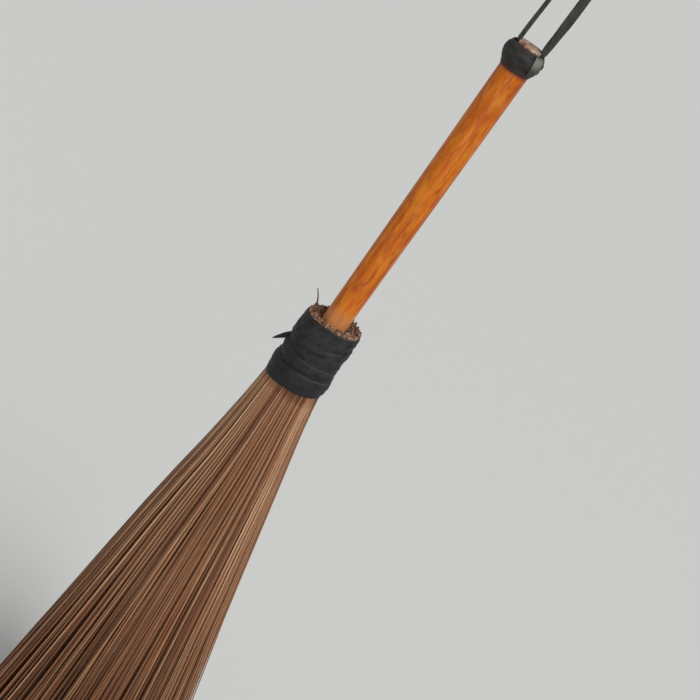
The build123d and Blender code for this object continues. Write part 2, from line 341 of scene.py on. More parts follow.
rib_material = make_rib_material()
stick_material = make_stick_material()
binding_material = make_rubber_material(
    "binding_rubber",
    dark=(0.003, 0.003, 0.004),
    light=(0.027, 0.027, 0.027),
    stain_colour=(0.034, 0.024, 0.020),
    edge_colour=(0.085, 0.085, 0.078),
    # The lower part, which bulges away from the light, is painted darker as shade
    foot=(BINDING_HIGH - 0.020, BINDING_LOW),
    foot_colour=(0.009, 0.009, 0.010),
    foot_share=0.70,
)
wrap_material = make_rubber_material(
    "wrap_rubber",
    dark=(0.006, 0.006, 0.006),
    light=(0.032, 0.031, 0.031),
    stain_colour=(0.050, 0.027, 0.014),
    edge_colour=(0.070, 0.062, 0.050),
    foot=(WRAP_LOW + 0.0045, WRAP_LOW + 0.0010),
    foot_colour=(0.050, 0.014, 0.008),
    foot_share=0.65,
)
strap_material = make_rubber_material(
    "strap_rubber",
    dark=(0.013, 0.013, 0.010),
    light=(0.031, 0.030, 0.024),
    stain_colour=(0.034, 0.026, 0.022),
    # The pale edge colour is also the painted highlight on the strap's fold
    edge_colour=(0.200, 0.208, 0.165),
    foot=(WRAP_LOW + 0.0110, WRAP_LOW + 0.0040),
    foot_colour=(0.050, 0.030, 0.026),
    foot_share=0.70,
)


# Camera: where the photograph's was, rolled with its picture; angles in degrees

CAMERA_PLACE = (-0.0014, -1.880, 1.0853)
CAMERA_TILT = 17.84
CAMERA_YAW = 0.12
CAMERA_ROLL = 35.60
PICTURE_WIDTH = 700.0
FOCAL_PIXELS = 2363.0
SENSOR_WIDTH = 36.0
FARTHEST_SEEN = 60.0


def make_camera():
    data = bpy.data.cameras.new("camera")
    data.sensor_width = SENSOR_WIDTH
    data.lens = SENSOR_WIDTH * FOCAL_PIXELS / PICTURE_WIDTH
    data.clip_end = FARTHEST_SEEN
    camera = bpy.data.objects.new("camera", data)
    bpy.context.scene.collection.objects.link(camera)
    tilt, yaw, roll = math.radians(CAMERA_TILT), math.radians(CAMERA_YAW), math.radians(CAMERA_ROLL)
    forward = Vector((math.sin(yaw) * math.cos(tilt), math.cos(yaw) * math.cos(tilt), -math.sin(tilt)))
    right = Vector((math.cos(yaw), -math.sin(yaw), 0.0))
    up = right.cross(forward)
    across = right * math.cos(roll) + up * math.sin(roll)
    upward = up * math.cos(roll) - right * math.sin(roll)
    turn = Matrix((across, upward, -forward)).transposed()
    camera.matrix_world = Matrix.Translation(CAMERA_PLACE) @ turn.to_4x4()
    bpy.context.scene.camera = camera


make_camera()


# Hanging strap: one flat strap from under the top binding on the right, over, and back down on the left

STRAP_WIDTH = 0.0080
STRAP_THICKNESS = 0.0021
STRAP_CORNER_SHARE = 0.28
STRAP_EXIT = 0.7765
STRAP_SHARP_ANGLE = 40.0
ROUTE_RESOLUTION = 10

# Route of the strap's free length: sideways place and height, from the right exit to the left one
STRAP_ROUTE = (
    (0.0118, 0.7765), (0.0121, 0.7840), (0.0128, 0.7960), (0.0135, 0.8120), (0.0138, 0.8280),
    (0.0139, 0.8430), (0.0134, 0.8560), (0.0074, 0.8632), (-0.0026, 0.8626), (-0.0090, 0.8548),
    (-0.0094, 0.8400), (-0.0095, 0.8240), (-0.0100, 0.8080), (-0.0108, 0.7930), (-0.0112, 0.7830),
    (-0.0113, 0.7765),
)

# Degrees by which the strap is turned from edge-on to face-on: where it leaves the top binding on the right
# and on the left, and the turns that it takes up between two shares of its free length, one after the other
RIGHT_EXIT_TURN = 34.0
LEFT_TURN = 17.0
STRAP_TURNS = ((0.0, 0.05, 44.0), (0.05, 0.26, 76.0), (0.38, 0.66, LEFT_TURN))

# How much the strap's width varies, and how rubbed it is from a share of its half width outward
STRAP_UNEVENNESS = 0.035
STRAP_WEAR = 0.16
STRAP_WEAR_FROM = 0.60


def route_points(points):
    """Points along a smooth curve that the route's points steer."""
    curve = bpy.data.curves.new("route", "CURVE")
    curve.dimensions = "3D"
    curve.resolution_u = ROUTE_RESOLUTION
    spline = curve.splines.new("NURBS")
    spline.points.add(len(points) - 1)
    for point, place in zip(spline.points, points):
        point.co = (*place, 1.0)
    spline.order_u = 3
    spline.use_endpoint_u = True
    holder = bpy.data.objects.new("route", curve)
    bpy.context.scene.collection.objects.link(holder)
    traced = bpy.data.meshes.new_from_object(holder)
    places = [v.co.copy() for v in traced.vertices]
    bpy.data.objects.remove(holder)
    bpy.data.meshes.remove(traced)
    return places


def length_along(points):
    lengths = [0.0]
    for first, second in zip(points, points[1:]):
        lengths.append(lengths[-1] + (second - first).length)
    return lengths


def strap_section():
    """Outline of the flat strap with rounded edges, as across and outward places."""
    corner = STRAP_THICKNESS * STRAP_CORNER_SHARE
    outline = []
    for side_x, side_y, first in ((1, -1, -90), (1, 1, 0), (-1, 1, 90), (-1, -1, 180)):
        for angle in (0, 45, 90):
            turn = math.radians(first + angle)
            outline.append((side_x * (STRAP_WIDTH / 2 - corner) + corner * math.cos(turn),
                            side_y * (STRAP_THICKNESS / 2 - corner) + corner * math.sin(turn)))
    return outline


def strap_turn(along):
    """Degrees by which the strap is turned, at a share of its free length from the right end."""
    turn = RIGHT_EXIT_TURN
    for start, end, next_turn in STRAP_TURNS:
        turn = mix(turn, next_turn, smooth(start, end, along))
    return turn


def add_strap(store, line, turns):
    """Adds a flat strap along a line, turned about it by a number of degrees at each point."""
    vertices, faces, wear_and_highlight = store
    lengths = length_along(line)
    outline = strap_section()
    start = len(vertices)
    for index, place in enumerate(line):
        before = line[max(index - 1, 0)]
        after = line[min(index + 1, len(line) - 1)]
        direction = (after - before).normalized()
        outward = Vector((direction.z, 0.0, -direction.x))
        turned = math.radians(turns[index])
        across = Vector((0.0, math.cos(turned), 0.0)) + outward * math.sin(turned)
        out = direction.cross(across)
        wide = 1.0 + STRAP_UNEVENNESS * wave(1, 60.0 * lengths[index])
        for x, y in outline:
            vertices.append(place + across * (x * wide) + out * y)
            rubbed_and_lit = 0.5 + 0.5 * wave(2, 300.0 * lengths[index] + x * 900.0)
            at_edge = smooth(STRAP_WEAR_FROM, 1.0, abs(x) / (STRAP_WIDTH / 2))
            wear_and_highlight.append(clamp(STRAP_WEAR * at_edge * rubbed_and_lit))
    join_rows(faces, start, len(line), len(outline))


def strap_piece(name, store):
    vertices, faces, wear_and_highlight = store
    piece = new_mesh(name, vertices, faces, strap_material, STRAP_SHARP_ANGLE)
    add_attribute(piece, "edge", wear_and_highlight)
    return piece


strap_line = route_points([(HANDLE_X + x, 0.0, z) for x, z in STRAP_ROUTE])
strap_lengths = length_along(strap_line)
strap_length = strap_lengths[-1]
strap_store = ([], [], [])
add_strap(strap_store, strap_line, [strap_turn(length / strap_length) for length in strap_lengths])
strap = strap_piece("strap_loop", strap_store)
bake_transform(strap)
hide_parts("hanging_loop")


# The strap's two clamped ends, which lie flat on the stick and twist only as they leave the top binding

CLAMPED_REACH = 0.01127
CLAMPED_FOOT = WRAP_LOW + 0.0022
CLAMPED_TOP = STRAP_EXIT + 0.0005
CLAMPED_STEPS = 10
TWISTS_FROM = 0.7700


def clamped_end(side, exit_reach, exit_turn):
    """Line and turns of the clamped end on one side, 1 for the right and -1 for the left."""
    line, turns = [], []
    for step in range(CLAMPED_STEPS + 1):
        height = mix(CLAMPED_FOOT, CLAMPED_TOP, step / CLAMPED_STEPS)
        leaving = smooth(TWISTS_FROM, STRAP_EXIT, height)
        line.append(Vector((HANDLE_X + side * mix(CLAMPED_REACH, exit_reach, leaving), 0.0, height)))
        turns.append(side * exit_turn * leaving)
    return line, turns


tail_store = ([], [], [])
add_strap(tail_store, *clamped_end(1, STRAP_ROUTE[0][0], RIGHT_EXIT_TURN))
add_strap(tail_store, *clamped_end(-1, -STRAP_ROUTE[-1][0], LEFT_TURN))


# The strap's right end, folded out over the top binding: radius, height and width along it

FOLD_TURN = math.radians(-43.0)
FOLD_THICKNESS = 0.0010
FOLD_CURL = 0.0011
FOLD_DRIFT = 0.0012
FOLD_STEPS = 27
FOLD_ROUTE = (
    (0.0136, 0.7690, 0.0088), (0.0141, 0.7722, 0.0096), (0.0151, 0.7739, 0.0102), (0.0163, 0.7740, 0.0104),
    (0.0175, 0.7724, 0.0102), (0.0183, 0.7690, 0.0100), (0.0187, 0.7652, 0.0096), (0.0183, 0.7612, 0.0088),
    (0.0174, 0.7578, 0.0078), (0.0160, 0.7556, 0.0066),
)
# The fold's section, as shares of its width across and of its thickness outward
FOLD_SECTION = (
    (-0.5, 0.35), (-0.44, 0.5), (-0.22, 0.5), (0.0, 0.5), (0.22, 0.5), (0.44, 0.5), (0.5, 0.35),
    (0.5, -0.35), (0.44, -0.5), (0.0, -0.5), (-0.44, -0.5), (-0.5, -0.35),
)
# Wear all over the fold, how much painted highlight there is where it bulges, and the shares of its length
# between which that sets in and ends
FOLD_WEAR = 0.06
FOLD_PAINTED_HIGHLIGHT = 0.74
HIGHLIGHT_SETS_IN = (0.34, 0.50)
HIGHLIGHT_ENDS = (0.84, 0.60)


def add_fold(store):
    """Short flat end that follows the fold's route at one angle about the handle."""
    vertices, faces, wear_and_highlight = store
    start = len(vertices)
    radii, heights, widths = zip(*FOLD_ROUTE)
    rows = []
    for step in range(FOLD_STEPS + 1):
        place = (len(FOLD_ROUTE) - 1) * step / FOLD_STEPS
        rows.append((through(radii, place), through(heights, place), through(widths, place)))
    sideways = Vector((-math.sin(FOLD_TURN), math.cos(FOLD_TURN), 0.0))
    for step, (radius, height, width) in enumerate(rows):
        before, after = rows[max(step - 1, 0)], rows[min(step + 1, FOLD_STEPS)]
        along = Vector((after[0] - before[0], after[1] - before[1])).normalized()
        share = step / FOLD_STEPS
        middle = round_handle(radius, FOLD_TURN, height) + sideways * FOLD_DRIFT * share
        out = Vector((-along.y * math.cos(FOLD_TURN), -along.y * math.sin(FOLD_TURN), along.x))
        # Painted highlight on the outer face where the fold bulges
        rubbed_and_lit = smooth(*HIGHLIGHT_SETS_IN, share) * smooth(*HIGHLIGHT_ENDS, share)
        for x, y in FOLD_SECTION:
            curl = -FOLD_CURL * (2 * x) ** 2
            vertices.append(middle + sideways * (x * width) + out * (y * FOLD_THICKNESS + curl))
            patchy = 0.75 + 0.35 * wave(7, step * 0.35 + 2.0 * x)
            outside = clamp(FOLD_WEAR + FOLD_PAINTED_HIGHLIGHT * rubbed_and_lit * patchy * smooth(0.50, 0.20, x))
            wear_and_highlight.append(outside if y > 0 else 0.0)
    join_rows(faces, start, len(rows), len(FOLD_SECTION))


add_fold(tail_store)
strap_tails = strap_piece("strap_tails", tail_store)
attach(strap_tails, "broom")
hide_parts("strap_ends")


# Palm ribs: a packed bundle in rings, which spreads into a fan

RIB_RINGS = 9
INNER_RINGS = 5
OUTSIDE_RINGS = 2
RIB_PITCH = 0.00182
OUTSIDE_PITCH = 0.00202
PITCH_RAGGEDNESS = 0.2
# Heights at which every rib is shaped, between its butt and its tip
RIB_HEIGHTS = (0.484, 0.430, 0.4235, 0.4185, 0.396, 0.370, 0.340, 0.305, 0.260, 0.210, 0.155, 0.105, 0.052)
# One rib's section, as shares of its half depth outward and its half width across
RIB_SECTION = ((1.0, -0.52), (1.0, 0.52), (0.25, 1.0), (-0.9, 0.62), (-0.9, -0.62), (0.25, -1.0))
RIB_SHARP_ANGLE = 25.0

# Least and greatest widths and depths
INNER_WIDTHS = (0.0016, 0.0023)
INNER_DEPTHS = (0.0012, 0.0017)
OUTSIDE_WIDTHS = (0.0018, 0.0026)
PALE_WIDTHS = (0.0015, 0.0021)
OUTSIDE_DEPTHS = (0.0011, 0.0015)
FILLING_WIDTHS = (0.0015, 0.0023)
STRAY_WIDTHS = (0.0011, 0.0016)

# Tones: means and spreads, how much darker a rib's inner sides are painted, as shade between the packed
# ribs, how many ribs are pale, and how much more those bleach below the binding
RIB_TONE = 0.51
RIB_TONE_SPREAD = 0.11
PALE_TONE = 0.80
PALE_TONE_SPREAD = 0.08
FILLING_TONE = 0.47
FILLING_TONE_SPREAD = 0.10
STRAY_TONES = (0.3, 0.7)
FIBRE_TONE = 0.05
PAINTED_SIDE_SHADE = 0.10
PALE_CHANCE = 0.27
BLEACH = 0.16

# Ribs get darker toward their tips and at their butts: the most, the height where that sets in, and the
# height where it is at its most
RIB_DARKER_BANDS = ((0.075, 0.385, 0.280), (0.25, 0.30, 0.02), (0.35, 0.486, 0.489))
FILLING_DARKER_TIPS = (0.28, 0.32, 0.02)
# Shadow on the ribs from just under the binding up to their butts
BINDING_SHADOW = 0.42
SHADOW_SETS_IN = (0.4185, 0.4290)
SHADOW_ENDS = (0.4865, 0.4840)

# Butts: the least that they stand above the rim, how much farther they may, how much lower the inmost are,
# how much higher those at the back are, and how many are pale
BUTT_REACH = 0.0002
BUTT_RAGGEDNESS = 0.0038
BUTT_SUNK = 0.0048
BUTT_BACK_RISE = 0.0014
PALE_BUTT_CHANCE = 0.26

# Tips: how many are on the floor, how far above it the others may end, and a rib's size there as a share of
# its size at the binding
FLOOR_TIP_CHANCE = 0.45
TIP_RAGGEDNESS = 0.020
TIP_SHARE = 0.72

# At both ends a rib narrows to a share of its size, over these lengths
BLUNT_SHARE = 0.75
BUTT_BEVEL = 0.0006
TIP_BEVEL = 0.001

# How far ribs stray from their places: about the handle and about themselves in radians, in their ring's
# share, and by bowing and kinking
RIB_DRIFT = 0.08
FILLING_DRIFT = 0.12
RIB_ROLL = 0.30
RIB_STRAY = 0.06
RIB_BOW = 0.0018
RIB_KINK = 0.0008

# Filling ribs end at this height, hidden in the binding
HIDDEN_HEIGHT = 0.446

# Loose ribs: how many, between which angles about the handle in degrees, and the least and most that they
# stand out of the fan at their tips, as shares of its reach
STRAY_GROUPS = ((30, -42.0, 30.0), (8, 30.0, 110.0))
STRAY_REACHES = (0.06, 0.26)
STRAY_BUTT = BINDING_HIGH - 0.004

# Frayed fibres among the butts: how many, least and most of their distances from the handle's axis, of how
# far they lean outward, of how far they stand up, and of how far they bend about the handle in radians
FIBRE_COUNT = 22
FIBRE_RADII = (0.018, 0.024)
FIBRE_LEANS = (-0.002, 0.003)
FIBRE_RISES = (0.006, 0.0098)
FIBRE_BENDS = (-0.1, 0.1)
FIBRE_THICKNESS = 0.0008
FIBRE_FOOT = BINDING_HIGH - 0.003
FIBRE_STEPS = 8

# The binding's rim and foot run aslant: the height of each at the front, and its rise toward the right
RIM_HEIGHT = 0.4916
RIM_RISE = 0.0018
FOOT_HEIGHT = 0.4277
FOOT_RISE = 0.0026

# The fan's outline: height, reach to the left, to the right, half depth, and the inmost ring's share
FAN_LEVELS = (
    (0.490, 0.0239, 0.0239, 0.0239, 0.545),
    (0.430, 0.0246, 0.0248, 0.0246, 0.540),
    (0.415, 0.0258, 0.0270, 0.0264, 0.520),
    (0.396, 0.0271, 0.0306, 0.0288, 0.490),
    (0.350, 0.0314, 0.0402, 0.0328, 0.430),
    (0.286, 0.0405, 0.0528, 0.0381, 0.350),
    (0.210, 0.0487, 0.0678, 0.0445, 0.270),
    (0.110, 0.0600, 0.0888, 0.0535, 0.180),
    (0.000, 0.0730, 0.1125, 0.0633, 0.110),
)
# Toward the tips the rings crowd outward: the power that does it there, and the heights between
CROWDING = 0.55
CROWDING_HEIGHTS = (0.200, 0.430)


def fan_place(height, ring_share, turn):
    """Middle of a rib at a height, where its ring's share and its angle about the handle put it."""
    for upper, lower in zip(FAN_LEVELS, FAN_LEVELS[1:]):
        if height >= lower[0]:
            break
    share = min((height - lower[0]) / (upper[0] - lower[0]), 1.0)
    left, right, half_depth, core = (mix(low, high, share) for low, high in zip(lower[1:], upper[1:]))
    crowded = max(ring_share, 0.0) ** mix(CROWDING, 1.0, smooth(*CROWDING_HEIGHTS, height))
    reach = core + (1.0 - core) * crowded
    middle = (right - left) / 2
    half_width = (right + left) / 2
    sideways = HANDLE_X + middle + half_width * reach * math.cos(turn)
    return Vector((sideways, half_depth * reach * math.sin(turn), height))


def free_share(height):
    """Share of the free length that a height is below the binding."""
    return clamp((BINDING_LOW - height) / BINDING_LOW)


def add_strand(store, places, sizes, spins, tones, cuts):
    """One strand of flat sides through a row of places; sizes are its depth and width at each."""
    vertices, faces, all_tones, all_cuts = store
    start = len(vertices)
    for place, (depth, width), spin, tone, cut in zip(places, sizes, spins, tones, cuts):
        for out, across in RIB_SECTION:
            x, y = depth / 2 * out, width / 2 * across
            vertices.append(place + Vector((math.cos(spin) * x - math.sin(spin) * y,
                                            math.sin(spin) * x + math.cos(spin) * y, 0.0)))
            # Every side but the outward face is painted darker, as shade between the ribs
            inner_side = out < 1.0
            all_tones.append(clamp(tone - PAINTED_SIDE_SHADE * inner_side))
            all_cuts.append(cut)
    join_rows(faces, start, len(places), len(RIB_SECTION))


def rib_darkening(height):
    """How much darker a rib is at a height: toward its tip, at its butt, and in the painted shadow under
    the binding.
    """
    darker_at_ends = sum(most * smooth(start, full, height) for most, start, full in RIB_DARKER_BANDS)
    shadow = BINDING_SHADOW * smooth(*SHADOW_SETS_IN, height) * smooth(*SHADOW_ENDS, height)
    return darker_at_ends + shadow


def make_rib(draw, ring, turn, store):
    """One rib with a cut butt and a tip narrowed by use."""
    ring_share = ring / (RIB_RINGS - 1)
    outside = ring >= RIB_RINGS - OUTSIDE_RINGS
    pale = draw.random() < PALE_CHANCE
    if outside:
        width = draw.uniform(*PALE_WIDTHS) if pale else draw.uniform(*OUTSIDE_WIDTHS)
        depth = draw.uniform(*OUTSIDE_DEPTHS)
    else:
        width = draw.uniform(*INNER_WIDTHS)
        depth = draw.uniform(*INNER_DEPTHS)
    sunk = BUTT_SUNK * (1.0 - ring_share) ** 1.5
    rim = RIM_HEIGHT + RIM_RISE * math.cos(turn)
    at_back = max(math.sin(turn), 0.0)
    butt = rim + BUTT_REACH - sunk + BUTT_RAGGEDNESS * draw.random() ** 1.4 + BUTT_BACK_RISE * at_back
    tip = 0.0 if draw.random() < FLOOR_TIP_CHANCE else TIP_RAGGEDNESS * draw.random()
    cluster = 0.16 * wave(31, 2.2 * turn) + 0.10 * wave(37, 6.0 * turn)
    if pale:
        tone = draw.gauss(PALE_TONE, PALE_TONE_SPREAD)
    else:
        tone = draw.gauss(RIB_TONE + cluster, RIB_TONE_SPREAD)
    drift = draw.uniform(-1, 1) * RIB_DRIFT
    stray = draw.uniform(-1, 1) * RIB_STRAY
    if outside:
        stray = -0.5 * abs(stray)
    bow = draw.uniform(-1, 1) * RIB_BOW
    bow_turn = draw.uniform(0, FULL_TURN)
    roll = draw.uniform(-RIB_ROLL, RIB_ROLL)
    seed = draw.uniform(0, 50)
    cream = draw.uniform(0.5, 1.0) if draw.random() < PALE_BUTT_CHANCE else draw.uniform(0.0, 0.3)
    cream *= 1.0 - 0.6 * at_back
    heights = (butt, butt - BUTT_BEVEL, *RIB_HEIGHTS, tip + TIP_BEVEL, tip)
    places, sizes, spins, tones = [], [], [], []
    for index, height in enumerate(heights):
        free = free_share(height)
        place = fan_place(height, ring_share + stray * free, turn + drift * free)
        swing = bow * math.sin(math.pi * free) + RIB_KINK * free * wave(seed, height * 14.0)
        places.append(place + Vector((math.cos(bow_turn), math.sin(bow_turn), 0.0)) * swing)
        shrink = mix(1.0, TIP_SHARE, free) * (BLUNT_SHARE if index in (0, len(heights) - 1) else 1.0)
        sizes.append((depth * shrink, width * shrink))
        spins.append(turn + roll + 0.35 * wave(seed + 9, height * 5.0))
        bleached = BLEACH * smooth(0.0, 0.25, free) * pale
        # Darker toward the tip and at the butt, and painted shadow under the binding
        tones.append(tone + bleached - rib_darkening(height) + 0.10 * wave(seed + 3.0, height * 24.0))
    cuts = [cream, max(0.4 * cream, 0.12), 0.06] + [0.0] * (len(heights) - 3)
    add_strand(store, places, sizes, spins, tones, cuts)


def make_filling_rib(draw, store):
    """A thin rib between the others, whose butt stays hidden in the binding."""
    ring_share = 0.45 + 0.52 * math.sqrt(draw.random())
    turn = draw.uniform(0, FULL_TURN)
    width = draw.uniform(*FILLING_WIDTHS)
    tone = draw.gauss(FILLING_TONE, FILLING_TONE_SPREAD)
    drift = draw.uniform(-1, 1) * FILLING_DRIFT
    tip = TIP_RAGGEDNESS * draw.random()
    heights = (HIDDEN_HEIGHT, *RIB_HEIGHTS[1:], tip)
    most_darker, darker_start, darker_full = FILLING_DARKER_TIPS
    places, sizes, tones = [], [], []
    for height in heights:
        free = free_share(height)
        places.append(fan_place(height, ring_share - 0.05 * (1.0 - free), turn + drift * free))
        sizes.append((width * mix(0.8, 0.6, free), width * mix(1.0, 0.8, free)))
        # Filling ribs get darker toward their tips
        tones.append(tone - most_darker * smooth(darker_start, darker_full, height))
    add_strand(store, places, sizes, [turn] * len(heights), tones, [0.0] * len(heights))


def make_stray_rib(draw, turn, store):
    """A thin rib that has worked loose and stands out of the fan toward its tip."""
    extra = draw.uniform(*STRAY_REACHES)
    width = draw.uniform(*STRAY_WIDTHS)
    tip = TIP_RAGGEDNESS * draw.random()
    seed = draw.uniform(0, 50)
    tone = draw.uniform(*STRAY_TONES)
    heights = (STRAY_BUTT, *RIB_HEIGHTS, tip)
    places, sizes = [], []
    for height in heights:
        free = free_share(height)
        spread = 0.97 + extra * min(1.5 * free, 1.0)
        places.append(fan_place(height, spread, turn + 0.05 * free * wave(seed, height * 5.0)))
        sizes.append((width * mix(1.0, 0.6, free),) * 2)
    count = len(heights)
    add_strand(store, places, sizes, [turn] * count, [tone] * count, [0.0] * count)


def make_fibre(store, turn, radius, lean, rise, bend, thickness):
    """A thin frayed fibre that stands up from the rim among the butts."""
    places, sizes = [], []
    for step in range(FIBRE_STEPS + 1):
        share = step / FIBRE_STEPS
        outward = radius + lean * share**1.6
        height = FIBRE_FOOT + rise * share
        places.append(round_handle(outward, turn + bend * share * share, height))
        sizes.append((mix(thickness, 0.5 * thickness, share),) * 2)
    count = FIBRE_STEPS + 1
    add_strand(store, places, sizes, [turn] * count, [FIBRE_TONE] * count, [0.0] * count)


def add_loose_ribs(draw, store):
    """Ribs and fibres that stand out of the bundle, among them the long fibre on the left."""
    for count, first, last in STRAY_GROUPS:
        for _ in range(count):
            make_stray_rib(draw, math.radians(draw.uniform(first, last)), store)
    make_fibre(store, math.radians(149), radius=0.0238, lean=0.0080, rise=0.0170, bend=0.10,
               thickness=0.0018)
    for _ in range(FIBRE_COUNT):
        make_fibre(store, draw.uniform(0, FULL_TURN), radius=draw.uniform(*FIBRE_RADII),
                   lean=draw.uniform(*FIBRE_LEANS), rise=draw.uniform(*FIBRE_RISES),
                   bend=draw.uniform(*FIBRE_BENDS), thickness=FIBRE_THICKNESS)


def make_ribs(name, rings, seed, fillings, has_loose_ribs):
    """One piece of the bundle: whole rings of ribs, and thinner ribs that fill the gaps between them."""
    draw = random.Random(seed)
    store = ([], [], [], [])
    bound_reach, inmost_share = FAN_LEVELS[0][1], FAN_LEVELS[0][4]
    for ring in rings:
        radius = mix(inmost_share, 1.0, ring / (RIB_RINGS - 1)) * bound_reach
        pitch = OUTSIDE_PITCH if ring >= RIB_RINGS - OUTSIDE_RINGS else RIB_PITCH
        count = int(FULL_TURN * radius / pitch)
        first = draw.uniform(0, FULL_TURN)
        for place in range(count):
            ragged = draw.uniform(-PITCH_RAGGEDNESS, PITCH_RAGGEDNESS)
            make_rib(draw, ring, first + FULL_TURN * (place + ragged) / count, store)
    for _ in range(fillings):
        make_filling_rib(draw, store)
    if has_loose_ribs:
        add_loose_ribs(draw, store)
    vertices, faces, tones, cuts = store
    piece = new_mesh(name, vertices, faces, rib_material, RIB_SHARP_ANGLE)
    add_attribute(piece, "tone", tones)
    add_attribute(piece, "cut", cuts)
    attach(piece, "broom")
    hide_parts(*[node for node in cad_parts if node.startswith(name)])


make_ribs("ribs_inner", range(INNER_RINGS), seed=11, fillings=130, has_loose_ribs=False)
make_ribs("ribs_outer", range(INNER_RINGS, RIB_RINGS), seed=23, fillings=150, has_loose_ribs=True)


# Rubber strips: each is wound as one band, and each turn lies over what is wound below it

# Steps in one turn, and the spacing of the levels at which the radius of what is wound is kept
TURN_STEPS = 72
LEVEL_STEP = 0.0005
# A strip falls away at this slope from what stands up beside it, within so many levels
DRAPE_SLOPE = 0.40
DRAPE_LEVELS = 6
STRIP_SHARP_ANGLE = 38.0
# Places across a strip, closer together at its edges
STRIP_SHARES = (0.0, 0.015, 0.05, *[0.1 + 0.05 * k for k in range(17)], 0.95, 0.985, 1.0)
# How much a strip's width varies, how far its edges wander, and over how many steps its two ends thin out
WIDTH_UNEVENNESS = 0.05
EDGE_WANDER = 0.0006
END_STEPS = 7
LEAST_THICKNESS = 0.0002
# An edge's mean share of the strip's thickness, and how much that varies
EDGE_THICKNESS = 0.42
EDGE_UNEVENNESS = 0.30
# Shares of the width over which an edge is thinner, smooth, and paler, and then how much paler it is:
# rubbed, and painted highlight where the edges catch the light
THIN_EDGE = 0.05
SMOOTH_EDGE = 0.06
WORN_AND_LIT_EDGE = 0.035
STRIP_WEAR_AND_HIGHLIGHT = 0.85
# The strip is drawn in above its foot, over this height
PINCH_RISE = 0.008


def drape(column, low, height):
    """Radius at which a strip lies over a column of radii, held off by what stands up beside it."""
    middle = (height - low) / LEVEL_STEP
    nearest = range(max(int(middle) - DRAPE_LEVELS, 0), min(int(middle) + DRAPE_LEVELS + 2, len(column)))
    return max(column[level] - DRAPE_SLOPE * LEVEL_STEP * abs(level - middle) for level in nearest)


def crease_depth(wrinkle, height, place, seed):
    """Small wrinkles that run along a strip and a little aslant: coarse ones, with fine ones over them."""
    coarse = noise.noise(Vector((height * 420.0 + 2.4 * place, place * 0.8, seed)))
    fine = noise.noise(Vector((height * 1000.0 - 3.2 * place, place * 1.6, seed + 4.0)))
    return wrinkle * coarse + 0.6 * wrinkle * fine


def slanted_height(foot, rim, level, turn):
    """Height of a level between foot and rim, each of which is a height and a rise toward the right."""
    foot_height, foot_rise = foot
    rim_height, rim_rise = rim
    return mix(foot_height + foot_rise * math.cos(turn), rim_height + rim_rise * math.cos(turn), level)


def wind_strip(heights, core, low, high, foot, rim, width, thickness, pinch, wrinkle, seed):
    """Mesh of one strip wound from the back over the left side, by its middle's height at quarter turns.

    The core gives the radius of what the strip lies on. The strip is wound between the level heights low
    and high, and is then set aslant between its foot and rim.
    """
    levels = int(round((high - low) / LEVEL_STEP)) + 1
    columns = [[core(low + level * LEVEL_STEP, BACK + FULL_TURN * column / TURN_STEPS)
                for level in range(levels)] for column in range(TURN_STEPS)]
    steps = (len(heights) - 1) * TURN_STEPS // 4
    vertices, faces, wear_and_highlight = [], [], []
    for step in range(steps + 1):
        place = 4.0 * step / TURN_STEPS
        turn = BACK + QUARTER_TURN * place
        column = columns[step % TURN_STEPS]
        middle = through(heights, place)
        half_width = width / 2 * (1.0 + WIDTH_UNEVENNESS * wave(seed, place * 0.7))
        upper = min(middle + half_width + EDGE_WANDER * wave(seed + 1, place * 1.4), high)
        lower = max(middle - half_width + EDGE_WANDER * wave(seed + 2, place * 1.2), low)
        ends = clamp(min(step, steps - step) / END_STEPS)
        thick = max(thickness * ends, LEAST_THICKNESS)
        thinning = EDGE_THICKNESS + EDGE_UNEVENNESS * wave(seed + 3, place * 0.9)
        inside = []
        for share in STRIP_SHARES:
            height = mix(lower, upper, share)
            edge = min(share, 1.0 - share)
            base = drape(column, low, height)
            crease = crease_depth(wrinkle, height, place, seed) * clamp(edge / SMOOTH_EDGE) * ends
            full = thick * mix(thinning, 1.0, clamp(edge / THIN_EDGE)) + crease
            drawn_in = pinch * smooth(low + PINCH_RISE, low, height)
            slanted = slanted_height(foot, rim, (height - low) / (high - low), turn)
            vertices.append(round_handle(base + full - drawn_in, turn, slanted))
            inside.append(round_handle(base - drawn_in, turn, slanted))
            # Edges are paler where rubbed, and painted highlight stands in for the light the edges catch
            rubbed_and_lit = clamp(0.22 + 0.9 * wave(seed + 28, place * 1.1 + slanted * 260.0))
            wear_and_highlight.append(clamp(STRIP_WEAR_AND_HIGHLIGHT * (1.0 - clamp(edge / WORN_AND_LIT_EDGE)) * rubbed_and_lit))
        vertices.extend(reversed(inside))
        wear_and_highlight.extend([0.0] * len(inside))
        first = int(math.ceil((lower - low) / LEVEL_STEP))
        last = int((upper - low) / LEVEL_STEP)
        laid = [drape(column, low, low + level * LEVEL_STEP) + thick for level in range(first, last + 1)]
        column[first:last + 1] = laid
    join_rows(faces, 0, steps + 1, 2 * len(STRIP_SHARES))
    return vertices, faces, wear_and_highlight


# Loose pointed tail of the rib binding: reach to the left, depth, height, width and thickness along it
TAIL_ROUTE = (
    (0.0235, -0.0030, 0.4630, 0.0056, 0.0014),
    (0.0262, -0.0030, 0.4606, 0.0054, 0.0014),
    (0.0284, -0.0029, 0.4583, 0.0047, 0.0014),
    (0.0306, -0.0026, 0.4558, 0.0038, 0.0013),
    (0.0326, -0.0020, 0.4534, 0.0028, 0.0012),
    (0.0343, -0.0012, 0.4512, 0.0017, 0.0010),
    (0.0355, -0.0004, 0.4494, 0.0006, 0.0006),
)
